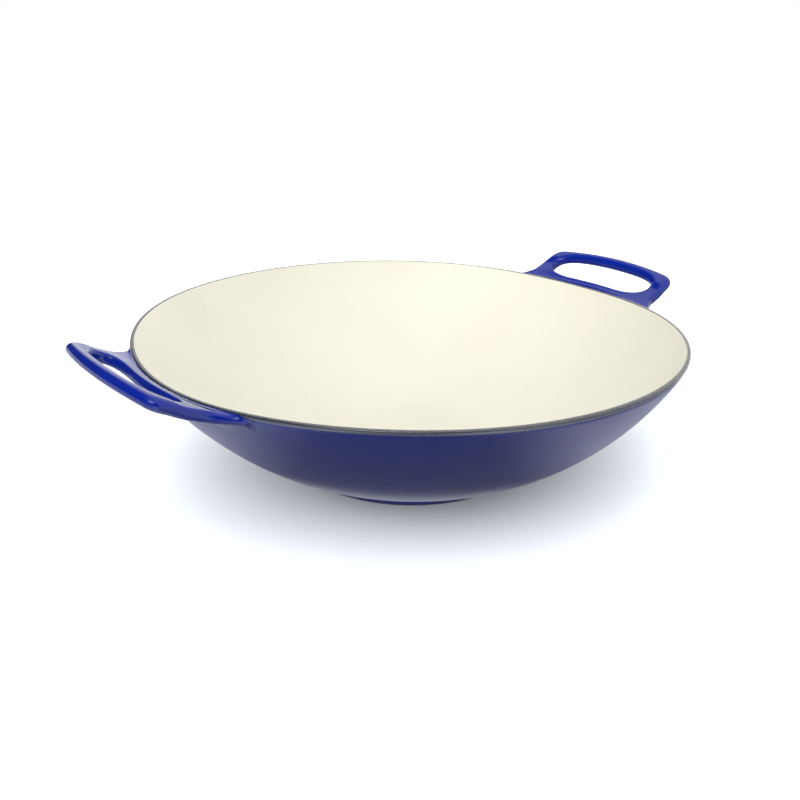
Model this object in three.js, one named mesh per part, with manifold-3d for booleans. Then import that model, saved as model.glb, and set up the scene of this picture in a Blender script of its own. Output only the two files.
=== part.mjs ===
// A grilling wok in enamelled cast iron: a round bowl on a foot ring, with two upswept loop handles.
// Millimetres, +Z up. The origin is the centre of the foot ring on the table, and the handles lie along X.
import * as THREE from 'three';
import { mergeVertices } from 'three/addons/utils/BufferGeometryUtils.js';
import Module from 'manifold-3d';

// Bowl
const RIM_RADIUS = 180;       // outer radius of the rim
const RIM_HEIGHT = 95.5;      // top of the rim above the table, between the handles
const RIM_EDGE = 2.6;         // upright dark edge below the top of the rim
const RIM_ROUND = 1.1;        // rounding of the rim's outer corner
const LIP_DIP = 3.4;          // how far the rim's inner lip dips at each handle
const EDGE_DIP = 1;           // how far the rim's outer edge dips there
const DIP_ANGLE = 30;         // degrees round the rim in which the dip fades
const DIP_DEPTH = 55;         // height of wall below the rim that follows the dip
const SIDE_ARC_RADIUS = 181;  // curve of the outer wall in section
const WALL = 3.4;             // wall with its coats
const BASE_THICKNESS = 4.8;   // bottom with its coats
const FLOOR_BLEND = 60;       // radius between the flat cooking floor and the side

// Foot ring
const FOOT_RADIUS = 79.6;     // outer radius where the wall meets it
const FOOT_HEIGHT = 5.9;      // height at which the wall meets it
const FOOT_WIDTH = 6.5;
const FOOT_DRAFT = 0.8;       // taper of each flank towards the table
const FOOT_RECESS = 2.2;      // underside of the bowl above the table, inside the ring
const FOOT_BARE = 1;          // bare iron at the bottom of the ring

// Handles, measured along the plane of the handle from the rim's outer edge
const HANDLE_TILT = 24.8;     // degrees up from level
const HANDLE_REACH = 38.9;    // outer edge of the loop, at its middle
const HANDLE_WIDTH = 116;     // across the two side arms
const HANDLE_BOW = 7.4;       // middle of the loop's edges beyond its corners
const HANDLE_CORNER = 10;     // rounding of the outer corners, in plan
const HANDLE_THICKNESS = 6.8;
const HANDLE_EDGE = 2.2;      // rounding of the section
const HANDLE_FLARE = 22;      // how far each arm spreads as it runs out on the wall
const HANDLE_FLARE_LENGTH = 40;
const HANDLE_ROOT_DEPTH = 18; // height below the rim at which the arms have run out
const BAR_WIDTH = 10.2;       // outer bar of the loop
const ARM_WIDTH = 11.7;       // each side arm of the loop
const WEB_WIDTH = 6.7;        // strip between the rim and the finger slot, at its middle
const SLOT_ROUND = 26;        // length of the finger slot's rounded ends

// Coats
const COAT = 0.5;             // thickness of an enamel coat
const FIT = 0.2;              // clearance that keeps the layers apart

// Facets
const TURN_STEPS = 52;
const SIDE_STEPS = 8;
const BLEND_STEPS = 3;
const CURVE_STEPS = 6;
const EDGE_STEPS = 2;
const WELD = 1e-4;            // corners nearer than this are one

const IRON_DEPTH = COAT + FIT;  // iron below the finished surface
const FLOOR_HEIGHT = FOOT_RECESS + BASE_THICKNESS;
const INNER_ARC_RADIUS = SIDE_ARC_RADIUS - WALL;
const TILT = THREE.MathUtils.degToRad(HANDLE_TILT);
const SIDE_CENTRE = sideCentre();
const LIP_RADIUS = innerFace(0, RIM_HEIGHT).at(-1).x;
const CUTTER_TOP = RIM_HEIGHT + HANDLE_REACH + HANDLE_THICKNESS;  // cutting bodies reach past the handles

const wasm = await Module();
wasm.setup();

const MATERIALS = {
  iron: new THREE.MeshStandardMaterial({ color: '#3d3d40', roughness: 0.6, metalness: 0.8 }),
  cream: new THREE.MeshStandardMaterial({ color: '#f4efdf', roughness: 0.18, metalness: 0 }),
  blue: new THREE.MeshStandardMaterial({ color: '#14267c', roughness: 0.15, metalness: 0 }),
  rim: new THREE.MeshStandardMaterial({ color: '#4b4f55', roughness: 0.7, metalness: 0 }),
};

// Centre of the wall's arc in section: the arc runs from the top of the foot to the foot of the rim's edge.
function sideCentre() {
  const foot = new THREE.Vector2(FOOT_RADIUS, FOOT_HEIGHT);
  const rim = new THREE.Vector2(RIM_RADIUS, RIM_HEIGHT - RIM_EDGE);
  const chord = rim.clone().sub(foot);
  const towardsAxis = new THREE.Vector2(-chord.y, chord.x).normalize();
  const rise = Math.sqrt(SIDE_ARC_RADIUS ** 2 - chord.lengthSq() / 4);
  return foot.add(rim).multiplyScalar(0.5).addScaledVector(towardsAxis, rise);
}

// Points of an arc in section, with its angles measured from straight down.
function sectionArc(centre, radius, from, to, steps) {
  const down = Math.PI / 2;
  return new THREE.EllipseCurve(centre.x, centre.y, radius, radius, from - down, to - down).getPoints(steps);
}

// Outer face of the wall, from the foot up to the rim's edge, at a depth below the finished surface.
function outerFace(depth) {
  const radius = SIDE_ARC_RADIUS - depth;
  const from = Math.asin((FOOT_RADIUS - depth - SIDE_CENTRE.x) / radius);
  const to = Math.asin((RIM_RADIUS - depth - SIDE_CENTRE.x) / radius);
  return sectionArc(SIDE_CENTRE, radius, from, to, SIDE_STEPS);
}

// Radius of the wall's finished outer face at a height.
function wallRadius(height) {
  return SIDE_CENTRE.x + Math.sqrt(SIDE_ARC_RADIUS ** 2 - (SIDE_CENTRE.y - height) ** 2);
}

// Inner face of the bowl, from its axis out over the floor and up to a height, at a depth below the surface.
function innerFace(depth, top) {
  const blendRise = SIDE_CENTRE.y - FLOOR_HEIGHT - FLOOR_BLEND;
  const blendReach = Math.sqrt((INNER_ARC_RADIUS - FLOOR_BLEND) ** 2 - blendRise ** 2);
  const blendCentre = new THREE.Vector2(SIDE_CENTRE.x + blendReach, FLOOR_HEIGHT + FLOOR_BLEND);
  const meeting = Math.atan2(blendReach, blendRise);
  const radius = INNER_ARC_RADIUS + depth;
  const end = Math.acos((SIDE_CENTRE.y - top) / radius);
  const floor = [new THREE.Vector2(0, FLOOR_HEIGHT - depth)];
  const blend = sectionArc(blendCentre, FLOOR_BLEND + depth, 0, meeting, BLEND_STEPS);
  const side = sectionArc(SIDE_CENTRE, radius, meeting, end, SIDE_STEPS);
  return [...floor, ...blend, ...side.slice(1)];
}

// Radius of the foot ring's outer and inner flanks at a height, at a depth below the finished surface.
function footOuter(height, depth) {
  return FOOT_RADIUS - depth - FOOT_DRAFT * (1 - height / FOOT_HEIGHT);
}
function footInner(height, depth) {
  return FOOT_RADIUS - FOOT_WIDTH + depth + FOOT_DRAFT * (1 - height / FOOT_RECESS);
}

// How far the bowl's wall is lowered at a point: most at the lip by the handles, and not at all low down.
function dip(x, y, z) {
  const fromHandle = THREE.MathUtils.radToDeg(Math.atan2(Math.abs(y), Math.abs(x)));
  const nearHandle = Math.exp(-((fromHandle / DIP_ANGLE) ** 2));
  const nearRim = THREE.MathUtils.smoothstep(z, RIM_HEIGHT - DIP_DEPTH, RIM_HEIGHT);
  const acrossRim = THREE.MathUtils.inverseLerp(LIP_RADIUS, RIM_RADIUS, Math.hypot(x, y));
  const most = THREE.MathUtils.lerp(LIP_DIP, EDGE_DIP, THREE.MathUtils.clamp(acrossRim, 0, 1));
  return most * nearHandle * nearRim;
}

// Turns a section about the axis, and lowers its wall towards the handles.
function turned(section) {
  const geometry = new THREE.LatheGeometry(section, TURN_STEPS).rotateX(Math.PI / 2);
  const position = geometry.getAttribute('position');
  for (let i = 0; i < position.count; i += 1) {
    const lowered = dip(position.getX(i), position.getY(i), position.getZ(i));
    position.setZ(i, position.getZ(i) - lowered);
  }
  return solid(geometry);
}

// Turns a section whose ends meet off the axis.
function turnedRing(section) {
  return turned([...section, section[0]]);
}

function solid(geometry) {
  geometry.deleteAttribute('normal');
  geometry.deleteAttribute('uv');
  const merged = mergeVertices(geometry, WELD);
  const vertProperties = merged.getAttribute('position').array;
  const triVerts = new Uint32Array(merged.index.array);
  return new wasm.Manifold(new wasm.Mesh({ numProp: 3, vertProperties, triVerts }));
}

function named(name, body, material) {
  const { vertProperties, triVerts } = body.getMesh();
  const geometry = new THREE.BufferGeometry();
  geometry.setAttribute('position', new THREE.BufferAttribute(vertProperties, 3));
  geometry.setIndex(new THREE.BufferAttribute(triVerts, 1));
  geometry.computeVertexNormals();
  const mesh = new THREE.Mesh(geometry, material);
  mesh.name = name;
  return mesh;
}

function halfTurn(body) {
  return body.rotate([0, 0, 180]);
}

// A bowed edge of the loop in plan, x outwards and y along the rim, between its ends at +end and -end.
// The tangents at its ends meet the arms at x = arms.
function bowedEdge(middle, halfWidth, round) {
  const end = halfWidth - round;
  const bow = HANDLE_BOW * (end / (HANDLE_WIDTH / 2)) ** 2;
  return { end, bend: middle + bow, ends: middle - bow, arms: middle - bow - (2 * bow * round) / end };
}

// Handle's outline in plan, drawn inside the finished edge by the rounding of its section.
function handleOutline() {
  const half = HANDLE_WIDTH / 2 - HANDLE_EDGE;
  const round = HANDLE_CORNER - HANDLE_EDGE;
  const outer = bowedEdge(HANDLE_REACH - HANDLE_EDGE, half, round);
  const flared = half + HANDLE_FLARE;
  const inWall = wallRadius(RIM_HEIGHT - HANDLE_ROOT_DEPTH) - WALL;
  const underside = RIM_RADIUS + HANDLE_THICKNESS * Math.sin(TILT);
  const flareTip = (Math.sqrt(inWall ** 2 - flared ** 2) - underside) / Math.cos(TILT);
  const flareStart = flareTip + HANDLE_FLARE_LENGTH;
  const flareBend = flareStart - HANDLE_FLARE_LENGTH / 3;
  const inside = flareTip - 2 * WALL;
  const outline = new THREE.Shape();
  outline.moveTo(inside, -flared);
  outline.lineTo(flareTip, -flared);
  outline.quadraticCurveTo(flareBend, -half, flareStart, -half);
  outline.lineTo(outer.arms - round, -half);
  outline.quadraticCurveTo(outer.arms, -half, outer.ends, -outer.end);
  outline.quadraticCurveTo(outer.bend, 0, outer.ends, outer.end);
  outline.quadraticCurveTo(outer.arms, half, outer.arms - round, half);
  outline.lineTo(flareStart, half);
  outline.quadraticCurveTo(flareBend, half, flareTip, flared);
  outline.lineTo(inside, flared);
  outline.holes.push(slotOutline());
  return outline;
}

// Finger slot's outline in plan, drawn outside the finished edge by the rounding of the section.
function slotOutline() {
  const half = HANDLE_WIDTH / 2 - ARM_WIDTH + HANDLE_EDGE;
  const outer = bowedEdge(HANDLE_REACH - BAR_WIDTH + HANDLE_EDGE, half, SLOT_ROUND);
  const inner = bowedEdge(WEB_WIDTH - HANDLE_EDGE, half, SLOT_ROUND);
  const middle = (inner.arms + outer.arms) / 2;
  const slot = new THREE.Path();
  slot.moveTo(inner.ends, -inner.end);
  slot.quadraticCurveTo(inner.bend, 0, inner.ends, inner.end);
  slot.quadraticCurveTo(inner.arms, half, middle, half);
  slot.quadraticCurveTo(outer.arms, half, outer.ends, outer.end);
  slot.quadraticCurveTo(outer.bend, 0, outer.ends, -outer.end);
  slot.quadraticCurveTo(outer.arms, -half, middle, -half);
  slot.quadraticCurveTo(inner.arms, -half, inner.ends, -inner.end);
  return slot;
}

// The right handle's loop, at a depth below its finished surface. It runs on through the bowl's wall.
function handleLoop(depth) {
  const level = HANDLE_THICKNESS - 2 * HANDLE_EDGE;
  const geometry = new THREE.ExtrudeGeometry(handleOutline(), {
    depth: level,
    curveSegments: CURVE_STEPS,
    bevelSegments: EDGE_STEPS,
    bevelSize: HANDLE_EDGE - depth,
    bevelThickness: HANDLE_EDGE - depth,
  });
  geometry.translate(0, 0, -level - HANDLE_EDGE);
  geometry.rotateY(-TILT);
  geometry.translate(RIM_RADIUS, 0, RIM_HEIGHT - EDGE_DIP);
  return solid(geometry);
}

// The loop's iron, or the passage that it needs, ending half way through the wall and below the rim's coat.
function handleRoot(depth) {
  const ceiling = RIM_HEIGHT - depth - FIT;
  const mouth = turned([
    ...innerFace(WALL / 2, ceiling),
    new THREE.Vector2(RIM_RADIUS + FIT, ceiling),
    new THREE.Vector2(RIM_RADIUS + FIT, CUTTER_TOP),
    new THREE.Vector2(0, CUTTER_TOP),
  ]);
  return handleLoop(depth).subtract(mouth);
}

// Iron bowl and foot ring, without the handles.
function ironBowl() {
  const top = RIM_HEIGHT - IRON_DEPTH;
  const underside = FOOT_RECESS + IRON_DEPTH;
  return turned([
    new THREE.Vector2(0, underside),
    new THREE.Vector2(footInner(FOOT_RECESS, IRON_DEPTH), underside),
    new THREE.Vector2(footInner(0, IRON_DEPTH), 0),
    new THREE.Vector2(footOuter(0, IRON_DEPTH), 0),
    ...outerFace(IRON_DEPTH),
    new THREE.Vector2(RIM_RADIUS - IRON_DEPTH, top),
    ...innerFace(IRON_DEPTH, top).reverse(),
  ]);
}

// Everything inside the bowl's outer surface, up past the rim, with the clearance round it.
function bowlEnvelope() {
  return turned([
    new THREE.Vector2(0, 0),
    new THREE.Vector2(footOuter(0, -FIT), 0),
    ...outerFace(-FIT),
    new THREE.Vector2(RIM_RADIUS + FIT, CUTTER_TOP),
    new THREE.Vector2(0, CUTTER_TOP),
  ]);
}

function ironCasting() {
  const core = handleRoot(IRON_DEPTH);
  return ironBowl().add(core).add(halfTurn(core));
}

function interiorEnamel() {
  const top = RIM_HEIGHT - IRON_DEPTH;
  return turned([...innerFace(COAT, top), ...innerFace(0, top).reverse()]);
}

// The blue coat of the outer wall, with an opening where each handle's iron passes through it.
function exteriorEnamel() {
  const coat = turnedRing([
    new THREE.Vector2(footOuter(FOOT_BARE, 0), FOOT_BARE),
    ...outerFace(0),
    ...outerFace(COAT).reverse(),
    new THREE.Vector2(footOuter(FOOT_BARE, COAT), FOOT_BARE),
  ]);
  const passage = handleLoop(COAT);
  return coat.subtract(passage).subtract(halfTurn(passage));
}

function undersideEnamel() {
  return turned([
    new THREE.Vector2(0, FOOT_RECESS),
    new THREE.Vector2(footInner(FOOT_RECESS, 0), FOOT_RECESS),
    new THREE.Vector2(footInner(FOOT_BARE, 0), FOOT_BARE),
    new THREE.Vector2(footInner(FOOT_BARE, COAT), FOOT_BARE),
    new THREE.Vector2(footInner(FOOT_RECESS, COAT), FOOT_RECESS + COAT),
    new THREE.Vector2(0, FOOT_RECESS + COAT),
  ]);
}

// The dark coat of the rim: its top and its upright outer edge, which is open to each handle's iron.
function rimEnamel() {
  const foot = RIM_HEIGHT - RIM_EDGE + FIT;
  const roundCentre = new THREE.Vector2(RIM_RADIUS - RIM_ROUND, RIM_HEIGHT - RIM_ROUND);
  const coat = turnedRing([
    new THREE.Vector2(RIM_RADIUS - COAT, foot),
    new THREE.Vector2(RIM_RADIUS, foot),
    ...sectionArc(roundCentre, RIM_ROUND, Math.PI / 2, Math.PI, EDGE_STEPS),
    new THREE.Vector2(LIP_RADIUS, RIM_HEIGHT),
    new THREE.Vector2(LIP_RADIUS, RIM_HEIGHT - COAT),
    new THREE.Vector2(RIM_RADIUS - COAT, RIM_HEIGHT - COAT),
  ]);
  const passage = handleRoot(COAT);
  return coat.subtract(passage).subtract(halfTurn(passage));
}

function handleEnamel() {
  return handleLoop(0).subtract(handleLoop(COAT)).subtract(bowlEnvelope());
}

const wok = new THREE.Group();
const rightHandleEnamel = handleEnamel();
wok.add(
  named('iron_casting', ironCasting(), MATERIALS.iron),
  named('interior_enamel', interiorEnamel(), MATERIALS.cream),
  named('exterior_enamel', exteriorEnamel(), MATERIALS.blue),
  named('underside_enamel', undersideEnamel(), MATERIALS.blue),
  named('rim_enamel', rimEnamel(), MATERIALS.rim),
  named('right_handle_enamel', rightHandleEnamel, MATERIALS.blue),
  named('left_handle_enamel', halfTurn(rightHandleEnamel), MATERIALS.blue),
);

export default wok;
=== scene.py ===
import math

import bpy
import numpy as np
from mathutils import Matrix, Vector


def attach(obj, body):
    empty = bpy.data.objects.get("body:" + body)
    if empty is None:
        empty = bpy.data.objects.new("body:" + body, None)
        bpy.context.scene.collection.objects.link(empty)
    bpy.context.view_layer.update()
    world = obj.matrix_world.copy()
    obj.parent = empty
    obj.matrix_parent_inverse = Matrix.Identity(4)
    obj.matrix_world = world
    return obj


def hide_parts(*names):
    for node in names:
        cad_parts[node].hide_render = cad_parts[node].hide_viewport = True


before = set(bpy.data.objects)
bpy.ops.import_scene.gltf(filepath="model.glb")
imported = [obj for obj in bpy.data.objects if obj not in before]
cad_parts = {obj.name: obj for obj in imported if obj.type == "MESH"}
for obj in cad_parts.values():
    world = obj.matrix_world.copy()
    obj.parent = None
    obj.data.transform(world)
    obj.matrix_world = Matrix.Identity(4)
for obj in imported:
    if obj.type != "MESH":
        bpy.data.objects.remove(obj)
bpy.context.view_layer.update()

# Lengths below are in millimetres.
MM = 0.001

# Bowl
RIM_RADIUS = 180.0
RIM_HEIGHT = 95.5
RIM_EDGE = 2.6            # upright edge below the top of the rim
RIM_ROUND = 1.1           # rounding of the rim's outer corner
RIM_FOOT_ROUND = 0.5      # rounding at the foot of the upright edge
RIM_GROOVE = 0.5          # depth of the crease between the upright edge and the wall
RIM_GROOVE_WIDTH = 0.9
LIP_ROUND = 0.2           # rounding of the rim's inner corner
LIP_DIP = 3.4             # how far the rim's inner lip dips at each handle
EDGE_DIP = 3.2            # how far the rim's outer edge dips there
DIP_ANGLE = 30.0          # degrees round the rim in which the dip fades
DIP_DEPTH = 55.0          # height of wall below the rim that follows the dip
SIDE_ARC_RADIUS = 181.0
WALL = 3.4
FLOOR_HEIGHT = 7.0
FLOOR_BLEND = 60.0        # radius between the flat cooking floor and the side
FLOOR_RINGS = (0, 0.15, 0.4, 0.7)   # rings of points on the flat floor, as shares of its radius
COAT = 0.5                # thickness of an enamel coat
IRON_DEPTH = 0.7          # iron below the finished surface
WALL_BACK = 2.5 * COAT    # depth of the outer coat's hidden back on the wall
FOOT_BACK = 1.5 * COAT    # depth of the blue coats' hidden backs at the foot
SEAM_DROP = 0.3           # how far below the rim's top the cream meets the dark coat

# Foot ring
FOOT_RADIUS = 79.6
FOOT_HEIGHT = 5.9
FOOT_WIDTH = 6.5
FOOT_DRAFT = 0.8
FOOT_RECESS = 2.2
FOOT_BARE = 1.0           # bare iron at the bottom of the ring
FOOT_FILLET = 3.0         # hollow between the foot and the wall
HOLLOW_GAP = 0.5          # least step between the hollow's last point and the wall's next
RECESS_FILLET = 0.8       # hollow between the foot and the recessed bottom

# Handles, measured along the handle's plane from the rim's outer edge
HANDLE_DROP = 1.0         # how far below the plain rim the middle of a handle meets the wall
HANDLE_TILT = math.radians(24.8)
HANDLE_REACH = 38.9
HANDLE_WIDTH = 116.0
HANDLE_BOW = 7.4
HANDLE_CORNER = 10.0
HANDLE_THICKNESS = 6.8
HANDLE_FLARE = 12.0       # widening of each side where it runs out on the rim
HANDLE_FLARE_LENGTH = 20.0
ROOT_DROP = 2.4           # how far a handle's middle is lowered where it meets the bowl
ROOT_FOLLOW = 0.8         # share of the rim's curve that a handle's root follows
ROOT_LENGTH = 20.0        # distance from the rim in which a handle turns to follow it
ROOT_THIN = 3.6           # how much the tips of the arms thin on the bowl
TIP_START = 50.0          # distance along the rim from a handle's middle at which its tips start to thin
TIP_END = 74.0            # and at which they are thinnest
BAR_WIDTH = 10.2
BAR_THICKNESS = 8.0       # the outer bar is rounded all over
BAR_RISE = 0.5            # middle of the bar above the middle of the arms
ARM_WIDTH = 11.7
WEB_WIDTH = 6.7
SLOT_ROUND = 26.0
ARM_EDGE = 2.4            # rounding along the arms and the web
WALL_FILLET = 4.5         # softness of the hollow where a handle meets the wall
SKIN = 0.05               # distance of a handle's edge from the wall's surface
SKIRT = 1.2               # depth to which a handle reaches into the wall
SKIRT_SINK = 1.3          # share of that depth to which its hidden edge sinks
SKIRT_NEAR = 0.7          # share of the hollow's softness at which the edge starts to sink
SKIRT_FAR = 1.5           # and at which it has sunk
SKIN_LOW = -4.0           # height from a handle's top at which its edge is still under the wall's surface
SKIN_HIGH = -0.5          # and at which it lies over that surface
COVER = -0.7              # height of a handle's blue over the rim's outer corner, here below it
COVER_SLOPE = 0.25        # fall of that blue inwards, into the rim
COVER_CLEAR = 1.0         # distance outside the rim from which the blue rises freely
COVER_RISE = 2.0          # its extra rise from there, per length
COVER_ROUND = 0.5         # softness of the blue's edge along the rim

# Camera, as fitted to the photograph
FOCAL_PIXELS = 917.57     # focal length
DISTANCE = 612.6
AIM_HEIGHT = 95.55
ELEVATION = math.radians(16.979)
AZIMUTH = math.radians(-40.135)
YAW = math.radians(0.523)
PITCH = math.radians(4.860)
ROLL = math.radians(-1.399)
IMAGE_WIDTH = 800         # pixels
SENSOR_WIDTH = 36
CLIP_START = 0.01         # metres

# Mesh fineness
TURN_STEPS = 320
SIDE_STEPS = 56
BLEND_STEPS = 16
ROUND_STEPS = 8
CURVE_STEPS = 24
SHARP_ANGLE = math.radians(40)
HANDLE_CELL = 0.6         # cell in which a handle's surface is found
PLAN_CELL = 0.25          # cell of the look-up of a handle's plan
SURFACE_PASSES = 4        # moves of a handle's points on to its surface
SLOPE_STEP = 0.05         # step that measures the field's slope
FLATTEST = 0.05           # least square of the slope that a move reckons with
TINY = 1e-6


# Sections of the bowl, as lists of (radius, height)

def side_centre():
    foot = np.array([FOOT_RADIUS, FOOT_HEIGHT])
    rim = np.array([RIM_RADIUS, RIM_HEIGHT - RIM_EDGE])
    chord = rim - foot
    towards_axis = np.array([-chord[1], chord[0]]) / np.linalg.norm(chord)
    rise = math.sqrt(SIDE_ARC_RADIUS ** 2 - chord @ chord / 4)
    return (foot + rim) / 2 + towards_axis * rise


SIDE_CENTRE = side_centre()
INNER_ARC_RADIUS = SIDE_ARC_RADIUS - WALL


def section_arc(centre, radius, start, end, steps):
    """An arc in section, with its angles measured from straight down."""
    angle = np.linspace(start, end, steps + 1)
    return [(centre[0] + radius * math.sin(a), centre[1] - radius * math.cos(a)) for a in angle]


def outer_face(depth, start, end):
    """Outer face of the wall between two heights of its finished surface, at a depth below it."""
    angles = [math.acos((SIDE_CENTRE[1] - height) / SIDE_ARC_RADIUS) for height in (start, end)]
    return section_arc(SIDE_CENTRE, SIDE_ARC_RADIUS - depth, *angles, SIDE_STEPS)


def inner_face(depth, top):
    """Inner face of the bowl, from its axis over the floor and up to a height."""
    blend_rise = SIDE_CENTRE[1] - FLOOR_HEIGHT - FLOOR_BLEND
    blend_reach = math.sqrt((INNER_ARC_RADIUS - FLOOR_BLEND) ** 2 - blend_rise ** 2)
    blend_centre = (SIDE_CENTRE[0] + blend_reach, FLOOR_HEIGHT + FLOOR_BLEND)
    meeting = math.atan2(blend_reach, blend_rise)
    radius = INNER_ARC_RADIUS + depth
    end = math.acos((SIDE_CENTRE[1] - top) / radius)
    floor = [(blend_centre[0] * share, FLOOR_HEIGHT - depth) for share in FLOOR_RINGS]
    blend = section_arc(blend_centre, FLOOR_BLEND + depth, 0, meeting, BLEND_STEPS)
    side = section_arc(SIDE_CENTRE, radius, meeting, end, SIDE_STEPS)
    return floor + blend + side[1:]


LIP_RADIUS = inner_face(0, RIM_HEIGHT)[-1][0]


def foot_outer(height, depth):
    return FOOT_RADIUS - depth - FOOT_DRAFT * (1 - height / FOOT_HEIGHT)


def foot_inner(height, depth):
    return FOOT_RADIUS - FOOT_WIDTH + depth + FOOT_DRAFT * (1 - height / FOOT_RECESS)


def filleted(before, corner, after, radius):
    """A corner between two straight runs, rounded to a radius."""
    before, corner, after = (np.array(p, float) for p in (before, corner, after))
    back = (before - corner) / np.linalg.norm(before - corner)
    on = (after - corner) / np.linalg.norm(after - corner)
    half = math.acos(np.clip(back @ on, -1, 1)) / 2
    centre = corner + (back + on) / np.linalg.norm(back + on) * radius / math.sin(half)
    first = corner + back * radius / math.tan(half) - centre
    last = corner + on * radius / math.tan(half) - centre
    turn = math.pi - 2 * half
    steps = np.linspace(0, turn, ROUND_STEPS + 1)
    spokes = [(first * math.sin(turn - a) + last * math.sin(a)) / math.sin(turn) for a in steps]
    return [tuple(centre + spoke) for spoke in spokes]


def dip_share(angle):
    """How much of the rim's dip there is at an angle from the line through the handles."""
    return np.exp(-((np.degrees(angle) / DIP_ANGLE) ** 2))


def across_rim(x, y):
    """0 at the rim's inner lip and 1 at its outer edge."""
    return (np.hypot(x, y) - LIP_RADIUS) / (RIM_RADIUS - LIP_RADIUS)


def ease(value, start, end):
    share = np.clip((value - start) / (end - start), 0, 1)
    return share * share * (3 - 2 * share)


def dip(x, y, z):
    """How far the bowl's wall is lowered at a point: most at the lip by the handles."""
    near_handle = dip_share(np.arctan2(np.abs(y), np.abs(x)))
    near_rim = ease(z, RIM_HEIGHT - DIP_DEPTH, RIM_HEIGHT)
    return near_handle * near_rim * (LIP_DIP + (EDGE_DIP - LIP_DIP) * np.clip(across_rim(x, y), 0, 1))


# Meshes

def piece(name, points, faces, material, slot, *nodes):
    """A smooth mesh piece that stands for CAD nodes; its points are in millimetres."""
    mesh = bpy.data.meshes.new(name)
    mesh.from_pydata((np.asarray(points) * MM).tolist(), [], faces)
    mesh.validate()
    mesh.shade_smooth()
    mesh.set_sharp_from_angle(angle=SHARP_ANGLE)
    mesh.materials.append(material)
    obj = bpy.data.objects.new(name, mesh)
    bpy.context.scene.collection.objects.link(obj)
    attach(obj, "root")
    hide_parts(*nodes)
    return obj


def turned(section):
    """Points and faces of a closed section turned about the axis, lowered towards the handles.

    The section runs up its outer side first. It starts and ends on the axis, or closes on itself."""
    on_axis = section[0][0] < TINY
    ring = section[1:-1] if on_axis else section
    count = len(ring)
    angle = np.arange(TURN_STEPS) * 2 * math.pi / TURN_STEPS
    radius = np.array([r for r, z in ring])
    height = np.array([z for r, z in ring])
    x = radius[:, None] * np.cos(angle)
    y = radius[:, None] * np.sin(angle)
    z = np.broadcast_to(height[:, None], x.shape)
    points = np.stack([x, y, z - dip(x, y, z)], -1).reshape(-1, 3)
    faces = []
    for i in range(count - 1 if on_axis else count):
        low, high = i * TURN_STEPS, (i + 1) % count * TURN_STEPS
        for j in range(TURN_STEPS):
            k = (j + 1) % TURN_STEPS
            faces.append((low + j, low + k, high + k, high + j))
    if on_axis:
        poles = [(0, 0, section[0][1]), (0, 0, section[-1][1])]
        points = np.vstack([points, poles])
        first, last = len(points) - 2, len(points) - 1
        top = (count - 1) * TURN_STEPS
        for j in range(TURN_STEPS):
            k = (j + 1) % TURN_STEPS
            faces.append((first, k, j))
            faces.append((last, top + j, top + k))
    return points, faces


# Handles: a field whose zero level is the handle's surface, in the handle's own axes.
# u runs out from the rim along the handle's plane, v along the rim, w up from the handle's top.

def curve(*controls):
    """Points of a quadratic curve, without its last point."""
    a, b, c = (np.array(p, float) for p in controls)
    t = np.linspace(0, 1, CURVE_STEPS, endpoint=False)[:, None]
    return (1 - t) ** 2 * a + 2 * t * (1 - t) * b + t * t * c


def bowed_edge(middle, half_width, rounding):
    end = half_width - rounding
    bow = HANDLE_BOW * (end / (HANDLE_WIDTH / 2)) ** 2
    ends = middle - bow
    return end, middle + bow, ends, ends - 2 * bow * rounding / end


def handle_outline():
    half = HANDLE_WIDTH / 2
    end, bend, ends, arms = bowed_edge(HANDLE_REACH, half, HANDLE_CORNER)
    flared = half + HANDLE_FLARE
    tip = (math.sqrt(RIM_RADIUS ** 2 - flared ** 2) - RIM_RADIUS) / math.cos(HANDLE_TILT)
    start = tip + HANDLE_FLARE_LENGTH
    flare_bend = start - HANDLE_FLARE_LENGTH / 3
    lower = np.vstack([
        [(tip - 3 * WALL, -flared)],
        curve((tip, -flared), (flare_bend, -half), (start, -half)),
        curve((arms - HANDLE_CORNER, -half), (arms, -half), (ends, -end)),
    ])
    across = curve((ends, -end), (bend, 0), (ends, end))
    return np.vstack([lower, across, lower[::-1] * (1, -1)])


def slot_outline():
    half = HANDLE_WIDTH / 2 - ARM_WIDTH
    out_end, out_bend, out_ends, out_arms = bowed_edge(HANDLE_REACH - BAR_WIDTH, half, SLOT_ROUND)
    in_end, in_bend, in_ends, in_arms = bowed_edge(WEB_WIDTH, half, SLOT_ROUND)
    middle = (out_arms + in_arms) / 2
    return np.vstack([
        curve((in_ends, -in_end), (in_bend, 0), (in_ends, in_end)),
        curve((in_ends, in_end), (in_arms, half), (middle, half)),
        curve((middle, half), (out_arms, half), (out_ends, out_end)),
        curve((out_ends, out_end), (out_bend, 0), (out_ends, -out_end)),
        curve((out_ends, -out_end), (out_arms, -half), (middle, -half)),
        curve((middle, -half), (in_arms, -half), (in_ends, -in_end)),
    ])


def inside_distance(points, outline):
    """Distance from points to a closed outline, above zero inside it."""
    nearest = np.full(len(points), np.inf)
    inside = np.zeros(len(points), bool)
    for a, b in zip(outline, np.roll(outline, -1, axis=0)):
        along = b - a
        offset = points - a
        share = np.clip(offset @ along / max(along @ along, TINY ** 2), 0, 1)
        nearest = np.minimum(nearest, ((offset - share[:, None] * along) ** 2).sum(1))
        spans = (a[1] > points[:, 1]) != (b[1] > points[:, 1])
        if along[1]:
            inside ^= spans & (points[:, 0] < a[0] + along[0] * offset[:, 1] / along[1])
    return np.where(inside, 1, -1) * np.sqrt(nearest)


# Corners of the box round a handle's field
LOWEST = np.array([-36.0, -93.0, -30.0])
HIGHEST = np.array([HANDLE_REACH + 3, 93.0, 4.0])
PLAN_MARGIN = 1.0


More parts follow.
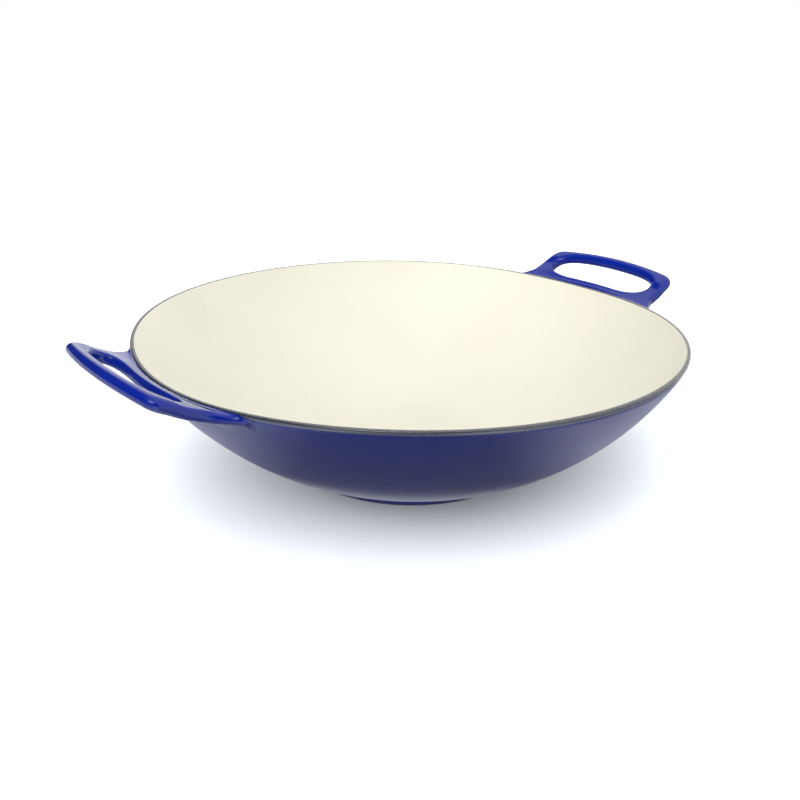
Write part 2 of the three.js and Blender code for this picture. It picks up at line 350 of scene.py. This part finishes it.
def plan_distances():
    """Distance inside the loop's edges on a grid of half its plan, below zero in the slot and outside."""
    u = np.arange(LOWEST[0] - PLAN_MARGIN, HIGHEST[0] + PLAN_MARGIN, PLAN_CELL)
    v = np.arange(0, HIGHEST[1] + PLAN_MARGIN, PLAN_CELL)
    plan = np.stack(np.meshgrid(u, v, indexing="ij"), -1).reshape(-1, 2)
    loop = np.minimum(inside_distance(plan, handle_outline()), -inside_distance(plan, slot_outline()))
    return loop.reshape(len(u), len(v))


PLAN = plan_distances()


def plate_distance(u, v):
    """Looks up the distance inside the loop's edges in plan."""
    row = np.clip((u - LOWEST[0] + PLAN_MARGIN) / PLAN_CELL, 0, PLAN.shape[0] - 1.001)
    column = np.clip(np.abs(v) / PLAN_CELL, 0, PLAN.shape[1] - 1.001)
    i, j = row.astype(int), column.astype(int)
    a, b = row - i, column - j
    near = PLAN[i, j] * (1 - b) + PLAN[i, j + 1] * b
    far = PLAN[i + 1, j] * (1 - b) + PLAN[i + 1, j + 1] * b
    return near * (1 - a) + far * a


def soft_min(a, b, softness):
    near = np.maximum(softness - np.abs(a - b), 0) / softness
    return np.minimum(a, b) - near ** 3 * softness / 6


def to_row_frame(local):
    u, v, w = local.T
    x = RIM_RADIUS + u * math.cos(HANDLE_TILT) - w * math.sin(HANDLE_TILT)
    z = RIM_HEIGHT - HANDLE_DROP + u * math.sin(HANDLE_TILT) + w * math.cos(HANDLE_TILT)
    return np.stack([x, v, z], 1)


def wall_distance(x, y, z):
    """Distance outside the bowl's outer wall."""
    undipped = z
    for _ in range(3):
        undipped = z + dip(x, y, undipped)
    radius = np.hypot(x, y)
    arc = np.hypot(radius - SIDE_CENTRE[0], undipped - SIDE_CENTRE[1]) - SIDE_ARC_RADIUS
    return np.where(undipped > RIM_HEIGHT - RIM_EDGE, radius - RIM_RADIUS, arc)


def above_rim(x, y, z):
    """Height above the limit of a handle's blue, which sinks into the rim and rises clear outside it."""
    outside = np.hypot(x, y) - RIM_RADIUS
    limit = COVER + COVER_SLOPE * outside + COVER_RISE * np.maximum(outside - COVER_CLEAR, 0)
    slope_dip = LIP_DIP + (EDGE_DIP - LIP_DIP) * across_rim(x, y)
    return z - RIM_HEIGHT - limit + dip_share(np.arctan2(np.abs(y), np.abs(x))) * slope_dip


def handle_field(local):
    """Below zero inside the handle, for points in its axes."""
    u, v, w = local.T
    x, y, z = to_row_frame(local).T
    root = 1 - ease(np.hypot(x, y) - RIM_RADIUS, 0, ROOT_LENGTH)
    plane_drop = (RIM_RADIUS - np.sqrt(RIM_RADIUS ** 2 - v ** 2)) * math.tan(HANDLE_TILT)
    lift = root * (ROOT_FOLLOW * plane_drop - ROOT_DROP)
    thickness = HANDLE_THICKNESS - ROOT_THIN * root * ease(np.abs(v), TIP_START, TIP_END)
    plate = plate_distance(u, v)
    from_bar = u + HANDLE_BOW * (v / (HANDLE_WIDTH / 2)) ** 2 - HANDLE_REACH
    bar = ease(from_bar, -2 * BAR_WIDTH, -BAR_WIDTH)
    half = (thickness + (BAR_THICKNESS - thickness) * bar) / 2
    middle = lift - thickness / 2 + BAR_RISE * bar
    edge = ARM_EDGE + (BAR_WIDTH / 2 - ARM_EDGE) * bar
    edge_height = ARM_EDGE + (BAR_THICKNESS / 2 - ARM_EDGE) * bar
    across = np.maximum(edge - plate, 0) / edge
    level = np.maximum(np.abs(w - middle) - half + edge_height, 0) / edge_height
    size = np.hypot(across, level)
    slope = np.hypot(across / edge, level / edge_height)
    reach = np.where(size > TINY, size / np.maximum(slope, TINY), edge_height)
    loop = (size - 1) * reach
    wall = wall_distance(x, y, z)
    skin = SKIN - 2 * SKIN * ease(w - lift, SKIN_LOW, SKIN_HIGH)
    sunk = ease(loop, SKIRT_NEAR * WALL_FILLET, SKIRT_FAR * WALL_FILLET)
    skin = skin + SKIRT_SINK * SKIRT * sunk
    field = soft_min(loop, wall + skin, WALL_FILLET)
    field = -soft_min(-field, -above_rim(x, y, z), COVER_ROUND)
    return np.maximum(field, -(wall + SKIRT))


def surface_net(values, lowest):
    """A mesh of quads on the zero level of values on a grid of cells, by surface nets."""
    inside = values < 0
    shape = np.array(values.shape) - 1
    total = np.zeros((*shape, 3))
    hits = np.zeros(shape)
    corners = [np.array(c) for c in np.ndindex(2, 2, 2)]

    def window(array, c):
        return array[c[0]:c[0] + shape[0], c[1]:c[1] + shape[1], c[2]:c[2] + shape[2]]

    for axis in range(3):
        step = np.eye(3, dtype=int)[axis]
        for c in corners:
            if c[axis]:
                continue
            a, b = window(values, c), window(values, c + step)
            crossed = (a < 0) != (b < 0)
            share = np.where(crossed, a / np.where(crossed, a - b, 1), 0)
            place = np.broadcast_to(c, (*shape, 3)) + share[..., None] * step
            total += place * crossed[..., None]
            hits += crossed
    used = np.argwhere(hits > 0)
    index = np.full(shape, -1)
    index[tuple(used.T)] = np.arange(len(used))
    points = used + total[tuple(used.T)] / hits[tuple(used.T)][:, None]
    quads = []
    for axis in range(3):
        one, two = [np.eye(3, dtype=int)[k] for k in ((axis + 1) % 3, (axis + 2) % 3)]
        step = np.eye(3, dtype=int)[axis]
        ends = [slice(1, -1) if k != axis else slice(0, -1) for k in range(3)]
        here = inside[tuple(ends)]
        there = inside[tuple(slice(1, -1) if k != axis else slice(1, None) for k in range(3))]
        for sign in (True, False):
            at = np.argwhere((here == sign) & (there != sign)) + 1 - step
            around = [at, at - one, at - one - two, at - two]
            loop = np.stack([index[tuple(c.T)] for c in around], 1)
            quads.append(loop if sign else loop[:, ::-1])
    return points * HANDLE_CELL + lowest, np.vstack(quads)


def onto_surface(points):
    """Moves points along the field's slope on to its zero level."""
    value = handle_field(points)
    slope = np.zeros_like(points)
    for axis in range(3):
        step = np.eye(3)[axis] * SLOPE_STEP
        slope[:, axis] = (handle_field(points + step) - handle_field(points - step)) / (2 * SLOPE_STEP)
    steep = np.maximum((slope ** 2).sum(1), FLATTEST)
    move = np.clip(-value / steep, -HANDLE_CELL / 2, HANDLE_CELL / 2)
    return points + slope * move[:, None]


def handle_mesh():
    axes = [np.arange(a, b, HANDLE_CELL) for a, b in zip(LOWEST, HIGHEST)]
    grid = np.stack(np.meshgrid(*axes, indexing="ij"), -1)
    values = handle_field(grid.reshape(-1, 3)).reshape(grid.shape[:3])
    points, quads = surface_net(values, LOWEST)
    for _ in range(SURFACE_PASSES):
        points = onto_surface(points)
    return to_row_frame(points), quads


# Materials

class Shader:
    """Builds one procedural material."""

    def __init__(self, name):
        self.material = bpy.data.materials.new(name)
        self.material.use_nodes = True
        self.tree = self.material.node_tree
        self.surface = self.tree.nodes["Principled BSDF"]
        self.coordinates = self.add("ShaderNodeTexCoord")
        self.place = self.coordinates.outputs["Object"]

    def add(self, kind, **values):
        node = self.tree.nodes.new(kind)
        for name, value in values.items():
            setattr(node, name, value)
        return node

    def link(self, source, target):
        self.tree.links.new(source, target)

    def set(self, **values):
        for name, value in values.items():
            self.surface.inputs[name.replace("_", " ")].default_value = value

    def noise(self, scale, detail=2.0, place=None):
        node = self.add("ShaderNodeTexNoise")
        node.inputs["Scale"].default_value = scale
        node.inputs["Detail"].default_value = detail
        self.link(place or self.place, node.inputs["Vector"])
        return node.outputs["Fac"]

    def spread(self, source, low, high, start=0.3, end=0.7):
        """Maps start to end of a value on to low to high."""
        node = self.add("ShaderNodeMapRange")
        for name, value in (("From Min", start), ("From Max", end), ("To Min", low), ("To Max", high)):
            node.inputs[name].default_value = value
        self.link(source, node.inputs["Value"])
        return node.outputs["Result"]

    def colours(self, share, first, second):
        """Mixes two colours, or one colour and a socket, by a share."""
        node = self.add("ShaderNodeMix", data_type="RGBA")
        self.link(share, node.inputs["Factor"])
        for socket, colour in ((node.inputs[6], first), (node.inputs[7], second)):
            if isinstance(colour, tuple):
                socket.default_value = (*colour, 1)
            else:
                self.link(colour, socket)
        return node.outputs[2]

    def radius(self):
        flat = self.add("ShaderNodeVectorMath", operation="MULTIPLY")
        flat.inputs[1].default_value = (1, 1, 0)
        self.link(self.place, flat.inputs[0])
        length = self.add("ShaderNodeVectorMath", operation="LENGTH")
        self.link(flat.outputs["Vector"], length.inputs[0])
        return length.outputs["Value"]

    def off_centre(self, direction):
        """Distance to either side of the axis, along a level direction."""
        across = self.add("ShaderNodeVectorMath", operation="DOT_PRODUCT")
        across.inputs[1].default_value = direction
        self.link(self.place, across.inputs[0])
        distance = self.add("ShaderNodeMath", operation="ABSOLUTE")
        self.link(across.outputs["Value"], distance.inputs[0])
        return distance.outputs["Value"]

    def times(self, first, second):
        node = self.add("ShaderNodeMath", operation="MULTIPLY")
        self.link(first, node.inputs[0])
        self.link(second, node.inputs[1])
        return node.outputs["Value"]

    def height(self):
        parts = self.add("ShaderNodeSeparateXYZ")
        self.link(self.place, parts.inputs["Vector"])
        return parts.outputs["Z"]

    def facing_up(self):
        parts = self.add("ShaderNodeSeparateXYZ")
        self.link(self.coordinates.outputs["Normal"], parts.inputs[0])
        return parts.outputs["Z"]

    def bump(self, height, strength, distance):
        node = self.add("ShaderNodeBump")
        node.inputs["Strength"].default_value = strength
        node.inputs["Distance"].default_value = distance
        self.link(height, node.inputs["Height"])
        return node.outputs["Normal"]

    def finish(self, colour, roughness, normal):
        self.link(colour, self.surface.inputs["Base Color"])
        self.link(roughness, self.surface.inputs["Roughness"])
        self.link(normal, self.surface.inputs["Normal"])
        return self.material


# Colours, as linear red, green and blue
CREAM_TONES = (0.838, 0.812, 0.69), (0.872, 0.85, 0.735)
# The outer wall's tones are painted shade: a darker, greyer copy of the handles' cobalt
SHADED_WALL_TONES = (0.0016, 0.009, 0.155), (0.002, 0.011, 0.185)
HANDLE_TONES = (0.0026, 0.016, 0.26), (0.0034, 0.02, 0.31)
RIM_TOP_TONES = (0.03, 0.033, 0.038), (0.085, 0.09, 0.095)
RIM_EDGE_TONE = (0.006, 0.011, 0.04)
# Pale tone of a painted sheen on the rim, seen at grazing angles
RIM_PAINTED_SHEEN_TONE = (0.72, 0.72, 0.69)
IRON_TONES = (0.11, 0.11, 0.112), (0.24, 0.238, 0.235)
SWEEP_TONES = (0.275, 0.29, 0.305), (0.28, 0.295, 0.31)
# Tones the wok mirrors: the second is painted light on the sweep to either side
SWEEP_MIRRORED_TONES = (0.088, 0.093, 0.098), (0.27, 0.28, 0.305)
# Painted pool of light on the sweep by the foot, seen only in reflection
SWEEP_FOOT_LIGHT_POOL_TONE = (0.8, 0.82, 0.86)
SWEEP_SPILL_TONE = (0.011, 0.011, 0.011)

# Places in metres at which a look starts to turn into another, and at which it has
HANDLE_HEIGHTS = 0.083, 0.093
HANDLE_DISTANCES = 0.15, 0.17
SWEEP_SIDES_START = 0.075, 0.145
SWEEP_SIDES_END = 0.14, 0.3
SWEEP_BY_FOOT = 0.088, 0.112


def cream_enamel():
    s = Shader("cream_enamel")
    tone = s.colours(s.spread(s.noise(11, detail=3), 0, 1), *CREAM_TONES)
    gloss = s.spread(s.noise(60), low=0.3, high=0.36)
    s.set(IOR=1.5)
    return s.finish(tone, gloss, s.bump(s.noise(150), strength=0.05, distance=0.0006))


def blue_enamel():
    """Cobalt and glossy on the handles; softer on the outer wall, which has a darker copy of the cobalt
    as painted shade.
    """
    s = Shader("blue_enamel")
    cloud = s.spread(s.noise(16, detail=3), 0, 1)
    # Painted shade: the outer wall, which faces down away from the light, gets a darker copy of the
    # cobalt
    wall = s.colours(cloud, *SHADED_WALL_TONES)
    handle = s.colours(cloud, *HANDLE_TONES)
    high = s.spread(s.height(), 0, 1, *HANDLE_HEIGHTS)
    at_handle = s.times(high, s.spread(s.off_centre((1, 0, 0)), 0, 1, *HANDLE_DISTANCES))
    tone = s.colours(at_handle, wall, handle)
    gloss = s.spread(at_handle, low=0.32, high=0.09, start=0, end=1)
    s.set(IOR=1.45)
    return s.finish(tone, gloss, s.bump(s.noise(200), strength=0.06, distance=0.0005))


def rim_enamel():
    """Grainy grey on top, navy on the upright edge, and a painted sheen that turns it pale where it is
    seen at a grazing angle.
    """
    s = Shader("rim_enamel")
    grain = s.noise(1400, detail=3)
    top = s.colours(s.spread(grain, 0, 1, start=0.35, end=0.65), *RIM_TOP_TONES)
    tone = s.colours(s.spread(s.facing_up(), 0, 1, start=0.45, end=0.8), RIM_EDGE_TONE, top)
    # Painted sheen: a pale tone mixed in by the viewing angle stands in for reflection at grazing angles
    grazing_sheen = s.add("ShaderNodeLayerWeight").outputs["Facing"]
    tone = s.colours(s.spread(grazing_sheen, 0, 1, start=0.71, end=0.79), tone, RIM_PAINTED_SHEEN_TONE)
    gloss = s.spread(grain, low=0.2, high=0.34)
    s.set(IOR=1.9)
    return s.finish(tone, gloss, s.bump(grain, strength=0.15, distance=0.0002))


def ground_iron():
    """Bare iron with fine rings from grinding."""
    s = Shader("ground_iron")
    rings = s.add("ShaderNodeCombineXYZ")
    s.link(s.radius(), rings.inputs["X"])
    lines = s.noise(3500, place=rings.outputs["Vector"])
    tone = s.colours(s.spread(lines, 0, 1), *IRON_TONES)
    gloss = s.spread(s.noise(400), low=0.38, high=0.6)
    s.set(Metallic=0.9)
    return s.finish(tone, gloss, s.bump(lines, strength=0.2, distance=0.0002))


def studio_floor():
    """A white sweep, overexposed as in the photograph.

    The wok mirrors less of it than the camera sees; in what it mirrors, painted light makes it brighter
    to either side and brighter close to the foot, in the wok's shadow.
    It sends little stray light to the wok."""
    s = Shader("studio_floor")
    path = s.add("ShaderNodeLightPath").outputs
    white = s.colours(s.noise(2), *SWEEP_TONES)
    # Painted light: what the wok mirrors is brighter to either side of the view, as if side lamps lit the
    # sweep there
    aside = s.off_centre((math.cos(AZIMUTH), math.sin(AZIMUTH), 0))
    painted_side_light = s.times(s.spread(aside, 0, 1, *SWEEP_SIDES_START), s.spread(aside, 1, 0, *SWEEP_SIDES_END))
    mirrored = s.colours(painted_side_light, *SWEEP_MIRRORED_TONES)
    # Painted light: a pool of light close to the foot, where the wok's shadow lies, seen only in what the
    # wok mirrors
    mirrored = s.colours(s.spread(s.radius(), 1, 0, *SWEEP_BY_FOOT), mirrored, SWEEP_FOOT_LIGHT_POOL_TONE)
    tone = s.colours(path["Is Glossy Ray"], SWEEP_SPILL_TONE, mirrored)
    tone = s.colours(path["Is Camera Ray"], tone, white)
    gloss = s.spread(s.noise(5), low=0.85, high=0.95)
    return s.finish(tone, gloss, s.bump(s.noise(300), strength=0.02, distance=0.0005))


CREAM = cream_enamel()
BLUE = blue_enamel()
DARK = rim_enamel()
IRON = ground_iron()


# Bowl pieces

SEAM = RIM_HEIGHT - SEAM_DROP
EDGE_FOOT = RIM_HEIGHT - RIM_EDGE


def iron():
    top = RIM_HEIGHT - IRON_DEPTH
    underside = FOOT_RECESS + IRON_DEPTH
    corner = foot_inner(FOOT_RECESS, IRON_DEPTH)
    section = [(0, underside), (corner / 2, underside), (corner, underside)]
    section += [(foot_inner(0, IRON_DEPTH), 0), (foot_outer(0, IRON_DEPTH), 0)]
    section += outer_face(IRON_DEPTH, FOOT_HEIGHT, EDGE_FOOT)
    section += [(RIM_RADIUS - IRON_DEPTH - RIM_GROOVE, top)]
    section += inner_face(IRON_DEPTH, top)[::-1]
    return piece("iron_body", *turned(section), IRON, "iron", "iron_casting")


def interior():
    section = inner_face(COAT, SEAM) + inner_face(0, SEAM)[::-1]
    return piece("cream_interior", *turned(section), CREAM, "cream_enamel", "interior_enamel")


def exterior():
    wall = outer_face(0, FOOT_HEIGHT, EDGE_FOOT)
    bottom = (foot_outer(FOOT_BARE, 0), FOOT_BARE)
    hollow = filleted(bottom, wall[0], wall[3], FOOT_FILLET)
    clear = [p for p in wall if p[0] > hollow[-1][0] + HOLLOW_GAP]
    # The last points are set closer together, to follow the crease.
    fine = [math.acos((SIDE_CENTRE[1] - z) / SIDE_ARC_RADIUS) for z in (clear[-3][1], EDGE_FOOT)]
    clear = clear[:-3] + section_arc(SIDE_CENTRE, SIDE_ARC_RADIUS, *fine, 2 * ROUND_STEPS)
    crease = [RIM_GROOVE * math.exp(-((EDGE_FOOT - z) / RIM_GROOVE_WIDTH) ** 2) for r, z in clear]
    creased = [(r - depth, z) for (r, z), depth in zip(clear, crease)]
    back = outer_face(WALL_BACK, FOOT_HEIGHT, EDGE_FOOT)[::-1]
    section = [bottom] + hollow + creased + back + [(foot_outer(FOOT_BARE, FOOT_BACK), FOOT_BARE)]
    return piece("blue_exterior", *turned(section), BLUE, "blue_enamel", "exterior_enamel")


def underside():
    bottom = (foot_inner(FOOT_BARE, 0), FOOT_BARE)
    corner = (foot_inner(FOOT_RECESS, 0), FOOT_RECESS)
    hollow = filleted((0, FOOT_RECESS), corner, bottom, RECESS_FILLET)
    section = [(0, FOOT_RECESS), (corner[0] / 2, FOOT_RECESS)] + hollow + [bottom]
    top = FOOT_RECESS + FOOT_BACK
    section += [(foot_inner(FOOT_BARE, FOOT_BACK), FOOT_BARE), (foot_inner(FOOT_RECESS, FOOT_BACK), top)]
    section += [(corner[0] / 2, top), (0, top)]
    return piece("blue_underside", *turned(section), BLUE, "blue_enamel", "underside_enamel")


def rim():
    lip = inner_face(0, SEAM)[-1]
    tucked = RIM_RADIUS - RIM_GROOVE - 2 * COAT
    corner = (RIM_RADIUS, EDGE_FOOT)
    low = filleted((tucked, EDGE_FOOT), corner, (RIM_RADIUS, RIM_HEIGHT), RIM_FOOT_ROUND)
    round_centre = (RIM_RADIUS - RIM_ROUND, RIM_HEIGHT - RIM_ROUND)
    outer = section_arc(round_centre, RIM_ROUND, math.pi / 2, math.pi, ROUND_STEPS)
    inner = filleted((RIM_RADIUS - RIM_ROUND, RIM_HEIGHT), (LIP_RADIUS, RIM_HEIGHT), lip, LIP_ROUND)
    back = [(lip[0] + COAT, SEAM), (tucked, RIM_HEIGHT - 2 * COAT), (tucked, EDGE_FOOT)]
    section = low + outer + inner + [lip] + back
    return piece("dark_rim", *turned(section), DARK, "rim_enamel", "rim_enamel")


iron()
interior()
exterior()
underside()
rim()

handle_points, handle_quads = handle_mesh()
for side, turn in (("right", 1), ("left", -1)):
    turned_points = handle_points * (turn, turn, 1)
    node = f"{side}_handle_enamel"
    piece(f"{side}_handle", turned_points, handle_quads.tolist(), BLUE, "blue_enamel", node)


# Camera, placed as the photograph's was

level = math.cos(ELEVATION)
back = Vector((math.sin(AZIMUTH) * level, -math.cos(AZIMUTH) * level, math.sin(ELEVATION)))
right = Vector((math.cos(AZIMUTH), math.sin(AZIMUTH), 0))
axes = Matrix((right, back.cross(right), back)).transposed()
for turn_angle, turn_axis in ((YAW, "Y"), (-PITCH, "X"), (-ROLL, "Z")):
    axes = axes @ Matrix.Rotation(turn_angle, 3, turn_axis)
camera = bpy.data.objects.new("camera", bpy.data.cameras.new("camera"))
eye = Vector((0, 0, AIM_HEIGHT)) + back * DISTANCE
camera.matrix_world = Matrix.Translation(eye * MM) @ axes.to_4x4()
camera.data.sensor_width = SENSOR_WIDTH
camera.data.lens = FOCAL_PIXELS * SENSOR_WIDTH / IMAGE_WIDTH
camera.data.clip_start = CLIP_START
bpy.context.scene.collection.objects.link(camera)
bpy.context.scene.camera = camera


# Studio: a white sweep in a room that is bright on the right, with a lamp at the upper left

FLOOR_HALF = 6            # metres
FLOOR_CORNERS = [(x * FLOOR_HALF, y * FLOOR_HALF, 0) for x, y in ((-1, -1), (1, -1), (1, 1), (-1, 1))]

floor_mesh = bpy.data.meshes.new("floor")
floor_mesh.from_pydata(FLOOR_CORNERS, [], [(0, 1, 2, 3)])
floor_mesh.materials.append(studio_floor())
floor = bpy.data.objects.new("floor", floor_mesh)
bpy.context.scene.collection.objects.link(floor)


def sun(name, strength, spread, towards):
    data = bpy.data.lights.new(name, "SUN")
    data.energy = strength
    data.angle = math.radians(spread)
    obj = bpy.data.objects.new(name, data)
    obj.rotation_euler = Vector(towards).to_track_quat("Z", "Y").to_euler()
    bpy.context.scene.collection.objects.link(obj)
    return obj


fill = sun("fill", strength=1.8, spread=60, towards=(-0.9, -0.05, 0.43))
fill.visible_glossy = False
tent = sun("tent", strength=21, spread=150, towards=(-0.55, -0.3, 0.78))
tent.light_linking.receiver_collection = bpy.data.collections.new("sweep")
tent.light_linking.receiver_collection.objects.link(floor)


class Room:
    """Builds the brightness of the room from the direction that is looked in."""

    def __init__(self):
        world = bpy.data.worlds.new("studio")
        world.use_nodes = True
        bpy.context.scene.world = world
        self.tree = world.node_tree
        self.direction = self.tree.nodes.new("ShaderNodeTexCoord").outputs["Generated"]

    def along(self, *axis):
        node = self.tree.nodes.new("ShaderNodeVectorMath")
        node.operation = "DOT_PRODUCT"
        node.inputs[1].default_value = axis
        self.tree.links.new(self.direction, node.inputs[0])
        return node.outputs["Value"]

    def rise(self, value, start, end, high=1.0):
        """Goes smoothly from 0 at start to high at end."""
        node = self.tree.nodes.new("ShaderNodeMapRange")
        node.interpolation_type = "SMOOTHSTEP"
        for name, number in (("From Min", start), ("From Max", end), ("To Min", 0), ("To Max", high)):
            node.inputs[name].default_value = number
        self.tree.links.new(value, node.inputs["Value"])
        return node.outputs["Result"]

    def join(self, operation, first, *others):
        for other in others:
            node = self.tree.nodes.new("ShaderNodeMath")
            node.operation = operation
            self.tree.links.new(first, node.inputs[0])
            if isinstance(other, (int, float)):
                node.inputs[1].default_value = other
            else:
                self.tree.links.new(other, node.inputs[1])
            first = node.outputs["Value"]
        return first

    def finish(self, brightness):
        room = self.tree.nodes["Background"]
        self.tree.links.new(brightness, room.inputs["Strength"])
        room.inputs["Color"].default_value = (1, 1, 1, 1)
        backdrop = self.tree.nodes.new("ShaderNodeBackground")
        backdrop.inputs["Color"].default_value = (1, 1, 1, 1)
        seen = self.tree.nodes.new("ShaderNodeLightPath")
        mix = self.tree.nodes.new("ShaderNodeMixShader")
        self.tree.links.new(seen.outputs["Is Camera Ray"], mix.inputs["Fac"])
        self.tree.links.new(room.outputs["Background"], mix.inputs[1])
        self.tree.links.new(backdrop.outputs["Background"], mix.inputs[2])
        self.tree.links.new(mix.outputs["Shader"], self.tree.nodes["World Output"].inputs["Surface"])


# Directions in the room
UP = 0, 0, 1
TO_CAMERA = -0.644, -0.765, 0
TO_CAMERA_RIGHT = 0.765, -0.644, 0
TO_BRIGHT_SIDE = 0.974, -0.225, 0
TO_LAMP = -0.55, -0.28, 0.787

# Brightness
CEILING = 0.3
BRIGHT_SIDE = 0.95
HORIZON_GAIN = 0.4
SOFTBOX = 0.35
LAMP = 3.2
SHADE = 0.05


def studio_room():
    room = Room()
    up = room.along(*UP)
    forward = room.along(*TO_CAMERA)
    sideways = room.along(*TO_CAMERA_RIGHT)
    overhead = room.rise(up, start=0.76, end=0.92, high=CEILING)
    horizon = room.join("ADD", room.rise(up, start=0.45, end=0.05, high=HORIZON_GAIN), 1)
    bright_side = room.rise(room.along(*TO_BRIGHT_SIDE), start=-0.02, end=0.14, high=BRIGHT_SIDE)
    bright_side = room.join("MULTIPLY", bright_side, horizon)
    softbox = room.join(
        "MULTIPLY",
        room.rise(forward, start=-0.28, end=-0.14, high=SOFTBOX),
        room.rise(forward, start=0.72, end=0.56),
        room.rise(sideways, start=-0.58, end=-0.42),
        room.rise(sideways, start=0.44, end=0.28),
        room.rise(up, start=0, end=0.1),
    )
    lamp = room.rise(room.along(*TO_LAMP), start=0.95, end=0.975, high=LAMP)
    room.finish(room.join("ADD", room.join("MAXIMUM", overhead, bright_side), softbox, lamp, SHADE))


studio_room()
bpy.context.scene.view_settings.view_transform = "Standard"
